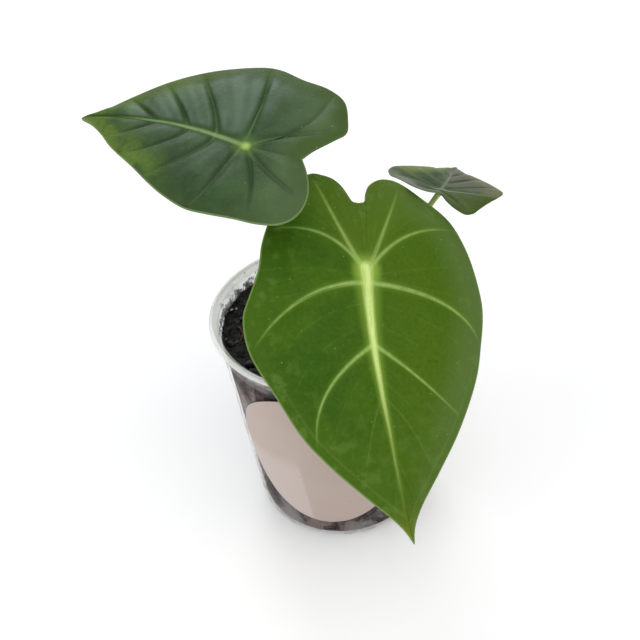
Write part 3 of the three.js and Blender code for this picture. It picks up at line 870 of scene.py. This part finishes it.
def blade_underside():
    """Lower face of all the blades: matt pale green with lighter ribs and a net of fine veins."""
    shade = Shade("blade_underside")
    flat = flat_place(shade)
    core, _, lines, _, minor = vein_masks(shade)
    cloud, net = flat.noise(0.2, 3, 0.6), flat.cells(1.1, "DISTANCE_TO_EDGE")
    colour = cloud.blend((106, 134, 72), (126, 150, 92)).paint(
        (net.between(0.12, 0.02), (150, 172, 116), 0.3),
        (minor, (150, 172, 116), 0.3),
        (lines, (168, 188, 128), 1),
        (core, (180, 198, 138), 1),
    )
    relief = [(net.math("MINIMUM", 0.2), 0.08), (minor, 0.05)]
    return shade.finish(colour, cloud.ramp(0.5, 0.62), relief, Specular_IOR_Level=0.35)


# ---------------------------------------------------------------- stalks and crown


def tube(name, line, radius_at, sides):
    """A round rod along a line of points; radius_at gives its radius from share and angle."""
    line = np.array(line, float)
    tangents = np.gradient(line, axis=0)
    tangents /= np.linalg.norm(tangents, axis=1, keepdims=True)
    normal = Vector((1, 0, 0))
    rings = []
    angles = np.linspace(0, TAU, sides + 1)
    for i, (centre, tangent) in enumerate(zip(line, tangents)):
        ahead = Vector(tangent)
        normal = (normal - ahead * normal.dot(ahead)).normalized()
        other = ahead.cross(normal)
        share = i / (len(line) - 1)
        radii = np.array([radius_at(share, angle) for angle in angles])
        ring = centre + radii[:, None] * (
            np.cos(angles)[:, None] * np.array(normal) + np.sin(angles)[:, None] * np.array(other)
        )
        rings.append(ring)
    closed = [np.tile(line[0], (sides + 1, 1)), *rings, np.tile(line[-1], (sides + 1, 1))]
    rod = grid_sheet(name, np.array(closed))
    weld(rod, 0.002)
    return rod


def stalk_piece(name, stalk, leaf, material):
    """A stalk from the crown to its blade: thick and channelled at its sheath, flared at its neck."""
    hub = np.array(leaf["hub"], float)
    start, *bends = stalk["route"]
    foot = (*start, CROWN_TOP - FOOT_SINK)
    approach = hub - np.array(bends[-1])
    approach /= np.linalg.norm(approach)
    neck = hub - approach * NECK_LENGTH
    end = hub - approach * NECK_GAP
    line = at_shares(smooth_line([foot, *bends, neck]), np.linspace(0, 1, 60))
    line = np.vstack([line, neck + (end - neck) * 0.5, end])

    def radius_at(share, angle):
        sheath = max(0, 1 - share / SHEATH_SHARE) ** 2
        slim = 0.8 * stalk["foot"] + (stalk["neck"] - 0.8 * stalk["foot"]) * math.sqrt(share)
        radius = slim + (stalk["foot"] - slim) * sheath
        flare = 0.25 * max(0, (share - FLARE_FROM) / (1 - FLARE_FROM)) ** 2
        channel = 0.1 * max(0, math.cos(angle)) ** 4 * (1 - share)
        return radius * (1 + flare - channel)

    rod = tube(f"leaf_{name}", line, radius_at, 28)
    settle(rod, name, material, angle=60)


def stalk_material():
    """Smooth pale green, streaked along its length and browner near the soil."""
    shade = Shade("stalk_green")
    streaks = shade.place.stretched((3.5, 3.5, 0.18)).noise(1, 4, 0.6)
    mottle = shade.place.noise(1.6, 3, 0.6)
    colour = streaks.blend((158, 178, 92), (190, 204, 132)).paint(
        (mottle.between(0.5, 0.75), (136, 156, 80), 0.35),
        (shade.place.axis("Z").between(66, 57), (128, 116, 74), 0.6),
    )
    return shade.finish(colour, mottle.ramp(0.36, 0.5), [(streaks, 0.08)], Specular_IOR_Level=0.45)


def crown_piece(material):
    """The short stem: a ringed, lumpy body, ribbed where old leaves came away."""
    profile = [
        (0.4, CROWN_ROOT), (2.6, CROWN_ROOT + 0.3), (4.4, CROWN_ROOT + 2.2), (5.2, CROWN_ROOT + 5),
        (5.3, 52), (5.15, 53), (5.25, 54), (4.95, 54.8), (5.1, 55.5), (4.7, 56.2), (3.9, 56.7), (0.4, 56.8),
    ]
    body = turned("short_stem", profile, 36)
    subdivide = body.modifiers.new("finer", "SUBSURF")
    subdivide.levels = subdivide.render_levels = 1
    apply_modifiers(body)
    for vertex in body.data.vertices:
        radius = math.hypot(vertex.co.x, vertex.co.y) / MM
        swell = 0.35 * noise.noise(vertex.co / MM * 0.35) + 0.15 * noise.noise(vertex.co / MM * 1.1)
        grow = 1 + swell / max(radius, 1.5)
        vertex.co.x *= grow
        vertex.co.y *= grow
    cap_ends(body)
    weld(body)
    settle(body, "crown", material, angle=50)


def crown_material():
    """Brown-green skin, darker and damper where it goes into the soil."""
    shade = Shade("crown_skin")
    grain = shade.place.stretched((1, 1, 3)).noise(0.9, 5, 0.65)
    damp = shade.place.axis("Z").between(56.6, 54.4)
    colour = grain.between(0.3, 0.7).blend((84, 72, 44), (138, 140, 82)).paint((damp, (58, 42, 28), 1))
    return shade.finish(colour, 0.6, [(grain, 0.25)])


# ---------------------------------------------------------------- pot and sticker


def polar(radius, angle):
    return radius * math.cos(angle), radius * math.sin(angle)


def wall_radius(height):
    share = (height - FOOT_ROUNDING) / (POT_HEIGHT - LIP_HEIGHT - FOOT_ROUNDING)
    return FOOT_RADIUS + (WALL_TOP_RADIUS - FOOT_RADIUS) * share


def arc(centre_radius, centre_height, radius, first, last, steps):
    """Profile points on an arc; angles are degrees from straight out, upwards."""
    angles = np.radians(np.linspace(first, last, steps + 1))
    return [(centre_radius + out, centre_height + up) for out, up in (polar(radius, a) for a in angles)]


def pot_piece(material):
    """A thin cup with a rolled lip, a stacking step inside, a rounded foot and drain holes."""
    foot = FOOT_RADIUS - FOOT_ROUNDING
    under = POT_HEIGHT - LIP_HEIGHT
    outside = [(1, 0), (foot * 0.5, 0), (foot, 0)]
    outside += arc(foot, FOOT_ROUNDING, FOOT_ROUNDING, -75, -3, 6)
    outside += [(wall_radius(h), h) for h in (6, 14, 22, 30, 38, 46, 52, under - 0.6, under)]
    lip_round = LIP_WIDTH / 2
    lip = [(LIP_RADIUS - 0.55, under + 0.08), (LIP_RADIUS - 0.12, under + 0.4)]
    lip += arc(LIP_RADIUS - lip_round, POT_HEIGHT - lip_round, lip_round, 0, 165, 9)
    inside_top = wall_radius(under) - WALL
    inside = [(inside_top + 0.55, POT_HEIGHT - 1), (inside_top + 0.12, POT_HEIGHT - 1.5)]
    below = STEP_HEIGHT - 0.6
    inside += [(inside_top, under), (wall_radius(STEP_HEIGHT) - WALL, STEP_HEIGHT)]
    inside += [(wall_radius(below) - WALL - STEP_DEPTH, below)]
    inside += [(wall_radius(h) - WALL, h) for h in (52.6, 46, 38, 30, 22, 14, 6)]
    inside += arc(foot, FOOT_ROUNDING, FOOT_ROUNDING - WALL, -3, -75, 5)
    inside += [(foot - 1, POT_FLOOR), (foot * 0.5, POT_FLOOR), (1, POT_FLOOR)]
    cup = turned("clear_cup", outside + lip + inside, 128)
    cap_ends(cup)
    close_holes(cup)
    weld(cup)
    drill(cup)
    settle(cup, "pot", material, angle=35)


def drill(cup):
    """Takes the drain holes out of the pot's floor."""
    for i in range(DRAIN["count"]):
        x, y = polar(DRAIN["ring"], i / DRAIN["count"] * TAU)
        pick()
        radius, where = DRAIN["radius"] * MM, (x * MM, y * MM, 0.4 * MM)
        bpy.ops.mesh.primitive_cylinder_add(vertices=28, radius=radius, depth=6 * MM, location=where)
        cutter = bpy.context.object
        cut = cup.modifiers.new("drain", "BOOLEAN")
        cut.object = cutter
        cut.operation = "DIFFERENCE"
        cut.solver = "EXACT"
        apply_modifiers(cup)
        bpy.data.objects.remove(cutter)


def pot_material():
    """Clear plastic: cloudy in patches, smeared with soil inside; milky above the soil, and painted near
    white there as light on its shaded inside.
    """
    shade = Shade("pot_plastic")
    place, height = shade.place, shade.place.axis("Z")
    fog = place.stretched((1, 1, 0.7), (0, 0, 2)).noise(0.11, 5, 0.62, 0.15)
    hue, grime = place.noise(0.09), place.noise(0.5, 6, 0.7)
    lip = height.between(POT_HEIGHT - LIP_HEIGHT - 0.2, POT_HEIGHT - LIP_HEIGHT + 0.4)
    above_soil = height.between(SOIL_LEVEL - 0.5, SOIL_LEVEL + 0.5)
    smear = (height * -0.05 + grime).between(-2.32, -2.26) * height.between(53.2, 54.6)
    smear = smear.math("MAXIMUM", place.noise(1.1, 5, 0.7).between(0.64, 0.68) * above_soil)
    colour = hue.between(0.4, 0.6).blend((148, 126, 121), (160, 157, 154)).paint(
        # near white above the soil: milky plastic, with painted light on the wall's shaded inner side
        (above_soil, (250, 250, 246), 1),
        (smear, (56, 46, 40), 0.85),
    )
    opaque = fog.between(0.465, 0.575).ramp(0.03, 0.4)
    for where, least in ((lip, 0.6), (above_soil, 0.27), (smear, 0.85)):
        opaque = opaque.math("MAXIMUM", where * least)
    relief = [(place.noise(2.2, 3, 0.6), 0.04), (grime, 0.08)]
    return shade.finish(colour, grime.ramp(0.12, 0.32), relief, opaque, Specular_IOR_Level=0.5)


def sticker_piece(material):
    """A round paper label laid on the pot's cone."""
    rings, around = 26, 96
    radii = STICKER["radius"] * np.concatenate([np.linspace(0.02, 0.97, rings), [0.985, 1.0]])
    angles = np.linspace(0, TAU, around + 1)
    u = radii[:, None] * np.cos(angles)[None]
    v = radii[:, None] * np.sin(angles)[None]
    outer = STICKER["thick"] * np.array([1.0] * rings + [0.92, 0.35])[:, None]

    def on_cone(off):
        turn = math.radians(STICKER["turn"]) + u / wall_radius(STICKER["height"])
        height = STICKER["height"] + v
        out = wall_radius(height) + STICKER["gap"] + off
        return np.stack([out * np.cos(turn), out * np.sin(turn), height], -1)

    def blister_at(a, b):
        return STICKER["blister"] * noise.noise(Vector((a * 0.25, b * 0.25, 3.1))) + STICKER["blister"]

    blister = np.array([[blister_at(a, b) for a, b in zip(*row)] for row in zip(u, v)])
    blister *= np.clip((1 - radii / STICKER["radius"]) * 4, 0, 1)[:, None]
    face, back = on_cone(outer + blister), on_cone(np.zeros_like(u))
    label = grid_sheet("round_label", np.concatenate([face, back[::-1]], 0))
    weld(label, 0.002)
    close_holes(label)
    weld(label, 0.002)
    settle(label, "sticker", material, angle=30)


def sticker_material():
    """Satin paper, pinkish beige, with a faint fibre, a pressed fold shown as a patch of painted light, and
    a few handling marks.
    """
    shade = Shade("sticker_paper")
    place, x, z = shade.place, shade.place.axis("X"), shade.place.axis("Z")
    fibre = place.stretched((1, 1, 2.4)).noise(3, 5, 0.7)
    # painted light: a lighter patch on one side of a fold that the label's shape doesn't have
    fold = (z * 0.12 + (x + 7.5)).between(0.5, -0.2)
    colour = place.noise(0.07).blend((182, 162, 151), (195, 176, 166)).paint(
        (fold * z.between(33, 27), (214, 202, 196), 0.45),
        (fibre, (170, 150, 140), 0.12),
        (place.noise(0.6, 4, 0.7).between(0.67, 0.72), (128, 110, 102), 0.5),
    )
    return shade.finish(colour, fibre.ramp(0.4, 0.52), [(fibre, 0.03)])


# ---------------------------------------------------------------- soil


def soil_relief(x, y):
    waves = (
        math.sin(0.55 * x + 1.3) * math.cos(0.48 * y)
        + 0.7 * math.sin(0.93 * x - 0.61 * y + 0.4)
        + 0.5 * math.cos(1.35 * y + 0.8 * x + 2.1)
    )
    return SOIL_RELIEF * waves / 2.2


def soil_top(x, y):
    """Height of the soil: the long waves, clods of a few millimetres and crumbs between them."""
    here = Vector((x, y, 0))
    clods = noise.voronoi(here * 0.33)[0]
    fine = noise.turbulence(here * 0.9, 4, False)
    return SOIL_LEVEL + soil_relief(x, y) + 1.0 * (0.5 - clods[0]) + 0.7 * (fine - 0.5)


def soil_piece(material):
    around, rings = 170, 62
    foot = FOOT_RADIUS - FOOT_ROUNDING
    clear = WALL + SOIL_GAP
    edge = wall_radius(SOIL_LEVEL) - clear
    side = [(0.01, POT_FLOOR + 0.1), (foot * 0.5, POT_FLOOR + 0.1), (foot - 1, POT_FLOOR + 0.1)]
    side += arc(foot, FOOT_ROUNDING, FOOT_ROUNDING - clear, -70, -5, 6)
    side += [(wall_radius(h) - clear, h) for h in np.linspace(6, SOIL_LEVEL - 1.4, 46)]
    top = [(edge * (1 - k / rings) ** 0.9 + 0.01, None) for k in range(rings)]
    angles = np.linspace(0, TAU, around + 1)
    sheet = []
    for radius, height in side + top:
        ring = []
        for angle in angles[:-1]:
            x, y = polar(radius, angle)
            if height is None:
                z = soil_top(x, y)
            else:
                z = height
                pit = noise.turbulence(Vector((x, y, height)) * 0.35, 4, False)
                shrink = 1 - 0.016 * max(0, pit - 0.25) * min(1, height / 6)
                x, y = x * shrink, y * shrink
            ring.append((x, y, z))
        sheet.append(ring + ring[:1])
    body = grid_sheet("potting_mix", np.array(sheet))
    weld(body, 0.03)
    close_holes(body)
    settle(body, "soil", material, angle=70)


def soil_material():
    """Dark damp mix: nearly black, with brown bark, fibres and a few pale grains."""
    shade = Shade("soil_mix")
    place = shade.place
    clump, grain, bits = place.noise(0.22, 4, 0.6), place.noise(1.4, 6, 0.75), place.cells(0.9)
    below = place.axis("Z").between(SOIL_LEVEL - 1.5, SOIL_LEVEL - 3)
    rare = place.cells(0.9, output="Color").between(0.6, 0.66) * bits.between(0.4, 0.25)
    colour = clump.between(0.4, 0.7).blend((6, 5, 5), (17, 13, 11)).paint(
        (below * clump.between(0.42, 0.56), (66, 40, 32), 0.7),
        (grain.between(0.58, 0.8), (48, 39, 33), 0.4),
        (rare, (92, 64, 44), 0.4),
    )
    relief = [(grain, 0.5), (bits, 0.4)]
    return shade.finish(colour, grain.ramp(0.8, 0.3), relief, Specular_IOR_Level=0.3)


def chunk_shapes(count, stretch, seed):
    """A few different rough lumps of unit size: arrays of vertices, and their shared faces."""
    lumps = []
    for k in range(count):
        pick()
        bpy.ops.mesh.primitive_ico_sphere_add(subdivisions=2, radius=1)
        lump = bpy.context.object
        places = np.array([
            np.array(v.co) * (1 + 0.45 * noise.noise(v.co * 1.3 + Vector((seed + 7.7 * k, 0, 0))))
            for v in lump.data.vertices
        ])
        places[:, 2] = np.clip(places[:, 2], -0.62, 0.7)
        faces = [tuple(p.vertices) for p in lump.data.polygons]
        bpy.data.objects.remove(lump)
        lumps.append((places * np.array(stretch), faces))
    return lumps


def scatter(name, shapes, spots, material):
    """One mesh made of copies: each spot is a place, a size and a turn in three angles."""
    vertices, faces = [], []
    for k, (place, size, turn) in enumerate(spots):
        shape, shape_faces = shapes[k % len(shapes)]
        about_x, about_y, about_z = (Matrix.Rotation(angle, 3, axis) for angle, axis in zip(turn, "XYZ"))
        rotation = np.array(about_x @ about_y @ about_z)
        first = len(vertices)
        vertices.extend((shape * size) @ rotation.T + np.array(place))
        faces.extend(tuple(first + i for i in face) for face in shape_faces)
    mesh = bpy.data.meshes.new(name)
    mesh.from_pydata([tuple(np.array(v) * MM) for v in vertices], [], faces)
    piece = bpy.data.objects.new(name, mesh)
    scene.collection.objects.link(piece)
    settle(piece, None, material, angle=25)


def soil_spots(count, low, high, seed, rise=0.35):
    """Random places on the soil inside the pot's wall, with a size and a turn for each."""
    draw = random.Random(seed)
    spots = []
    while len(spots) < count:
        size = low + (high - low) * draw.random() ** 2
        limit = wall_radius(SOIL_LEVEL) - WALL - 0.4 - size
        radius = limit * math.sqrt(draw.random())
        angle = draw.random() * TAU
        turn = [draw.random() * TAU for _ in range(3)]
        if radius < CROWN_RADIUS + 0.3 + size:
            continue
        x, y = polar(radius, angle)
        spots.append(((x, y, soil_top(x, y) + rise * size), size, turn))
    return spots


def crumb_material(name, dark, light, rough=0.85):
    """Loose bits of one kind, in two shades and with brighter grain."""
    shade = Shade(name)
    grain, patch = shade.place.noise(1.8, 5, 0.7), shade.place.noise(0.35)
    bright = tuple(part * GRAIN_GLINT ** (1 / GAMMA) for part in light)
    colour = patch.between(0.35, 0.65).blend(dark, light).paint((grain.between(0.5, 0.8), bright, 0.5))
    return shade.finish(colour, rough, [(grain, 0.3)])


def fibre_spots(seed, count):
    """Fine roots and fibres lying on the soil: short curved lines of points."""
    draw = random.Random(seed)
    lines = []
    while len(lines) < count:
        radius = (wall_radius(SOIL_LEVEL) - 4) * math.sqrt(draw.random())
        angle = draw.random() * TAU
        heading = draw.random() * TAU
        x, y = polar(radius, angle)
        bend = draw.uniform(-0.25, 0.25)
        points = []
        for _ in range(14):
            if math.hypot(x, y) > wall_radius(SOIL_LEVEL) - 1.8 or math.hypot(x, y) < CROWN_RADIUS + 0.5:
                break
            points.append((x, y, soil_top(x, y) + 0.35 + 0.25 * math.sin(len(points) * 0.8)))
            heading += bend + draw.uniform(-0.2, 0.2)
            x, y = x + FIBRE_STEP * math.cos(heading), y + FIBRE_STEP * math.sin(heading)
        if len(points) > 6:
            lines.append(points)
    return lines


def fibres_piece(material):
    rods = []
    for k, points in enumerate(fibre_spots(11, 26)):
        line = smooth_line(points, 26)
        thick = 0.09 + 0.05 * (k % 3)
        rods.append(tube(f"fibre_{k}", line, lambda share, angle: thick * (1 - 0.5 * share), 7))
    fibres = join("soil_fibres", rods)
    settle(fibres, None, material, angle=60)


# ---------------------------------------------------------------- the whole plant

place_camera()
light_studio()
lay_floor()

pot_piece(pot_material())
sticker_piece(sticker_material())
soil_piece(soil_material())
dark_crumb = crumb_material("crumb_black", (7, 6, 6), (20, 16, 14), 0.4)
bark_crumb = crumb_material("crumb_bark", (26, 18, 14), (52, 37, 28))
grain_white = crumb_material("grain_white", (190, 186, 178), (214, 210, 204), 0.8)
crumbs, bark, grains = (
    chunk_shapes(6, (1, 0.85, 0.7), 1.5),
    chunk_shapes(4, (1.5, 0.6, 0.35), 9.5),
    chunk_shapes(3, (1, 0.9, 0.8), 4.5),
)
scatter("soil_crumbs", crumbs, soil_spots(420, 0.35, 1.5, 5), dark_crumb)
scatter("soil_bark", bark, soil_spots(60, 0.6, 1.5, 8), bark_crumb)
scatter("soil_grains", grains, soil_spots(70, 0.16, 0.55, 13, 0.7), grain_white)
fibres_piece(crumb_material("fibre_tan", (96, 78, 58), (150, 126, 98)))
crown_piece(crown_material())
stalk_skin = stalk_material()
underside = blade_underside()
UPPER = {"large": mid_green_blade(), "left": blue_green_blade(), "small": olive_blade()}
for kind, leaf in LEAVES.items():
    stalk_piece(f"stalk_{kind}", STALKS[kind], leaf, stalk_skin)
    blade_piece(f"blade_{kind}", leaf, UPPER[kind], underside)

bpy.context.view_layer.update()
